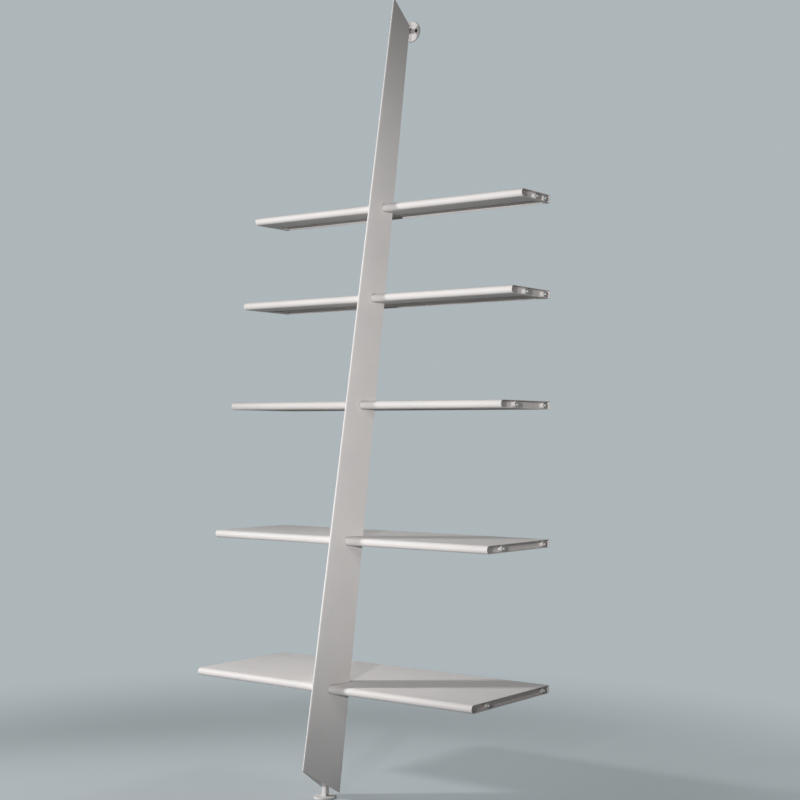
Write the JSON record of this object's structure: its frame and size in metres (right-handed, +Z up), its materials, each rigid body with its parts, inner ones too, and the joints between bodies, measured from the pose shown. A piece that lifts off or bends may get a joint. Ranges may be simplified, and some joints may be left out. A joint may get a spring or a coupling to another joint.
{
  "type": "leaning steel bookshelf",
  "caption": "Leaning steel bookshelf: a folded blade upright on a round foot, fixed to the wall at its top, with folded sheet shelves through slots, deeper towards the floor.",
  "frame": {"origin": "on the floor, under the middle of the foot", "axes": "+Z up, +Y straight into the wall that the unit leans on, X along the shelves. The wall's face is at y = 0.431, 5 mm behind the backs of the shelves."},
  "size_m": [1.08, 0.5391, 2.5505],
  "materials": {
    "shelf_paint": "satin light grey powder coat",
    "upright_paint": "satin light grey powder coat",
    "foot_paint": "satin light grey powder coat",
    "tube_paint": "satin light grey powder coat",
    "bush_steel": "turned and blackened, with a bright thread in the bore",
    "weld_steel": "powder coat over weld",
    "screw_steel": "black oxide"
  },
  "bodies": {
    "unit": {"upright": "upright_paint", "foot_socket": "weld_steel", "foot_bracket": "weld_steel", "foot_set_screw": "screw_steel", "wall_stem": "foot_paint", "wall_disc": "foot_paint", "wall_block": "weld_steel", "shelf_1_saddle": "weld_steel", "shelf_2_saddle": "weld_steel", "shelf_3_saddle": "weld_steel", "shelf_4_saddle": "weld_steel", "shelf_5_saddle": "weld_steel", "shelf_1_shell": "shelf_paint", "shelf_1_end_plate_left": "shelf_paint", "shelf_1_end_plate_right": "shelf_paint", "shelf_1_front_tube": "tube_paint", "shelf_1_back_tube": "tube_paint", "shelf_1_front_bush_left": "bush_steel", "shelf_1_front_bush_right": "bush_steel", "shelf_1_back_bush_left": "bush_steel", "shelf_1_back_bush_right": "bush_steel", "shelf_2_shell": "shelf_paint", "shelf_2_end_plate_left": "shelf_paint", "shelf_2_end_plate_right": "shelf_paint", "shelf_2_front_tube": "tube_paint", "shelf_2_back_tube": "tube_paint", "shelf_2_front_bush_left": "bush_steel", "shelf_2_front_bush_right": "bush_steel", "shelf_2_back_bush_left": "bush_steel", "shelf_2_back_bush_right": "bush_steel", "shelf_3_shell": "shelf_paint", "shelf_3_end_plate_left": "shelf_paint", "shelf_3_end_plate_right": "shelf_paint", "shelf_3_front_tube": "tube_paint", "shelf_3_back_tube": "tube_paint", "shelf_3_front_bush_left": "bush_steel", "shelf_3_front_bush_right": "bush_steel", "shelf_3_back_bush_left": "bush_steel", "shelf_3_back_bush_right": "bush_steel", "shelf_4_shell": "shelf_paint", "shelf_4_end_plate_left": "shelf_paint", "shelf_4_end_plate_right": "shelf_paint", "shelf_4_front_tube": "tube_paint", "shelf_4_back_tube": "tube_paint", "shelf_4_front_bush_left": "bush_steel", "shelf_4_front_bush_right": "bush_steel", "shelf_4_back_bush_left": "bush_steel", "shelf_4_back_bush_right": "bush_steel", "shelf_5_shell": "shelf_paint", "shelf_5_end_plate_left": "shelf_paint", "shelf_5_end_plate_right": "shelf_paint", "shelf_5_front_tube": "tube_paint", "shelf_5_back_tube": "tube_paint", "shelf_5_front_bush_left": "bush_steel", "shelf_5_front_bush_right": "bush_steel", "shelf_5_back_bush_left": "bush_steel", "shelf_5_back_bush_right": "bush_steel"},
    "foot": {"foot_stem": "foot_paint", "foot_disc": "foot_paint"}
  },
  "joints": [
    {"name": "foot_height", "type": "slide", "parent": "unit", "child": "foot", "axis": [0, 0, 1], "range_m": [-0.02, 0.008]}
  ]
}
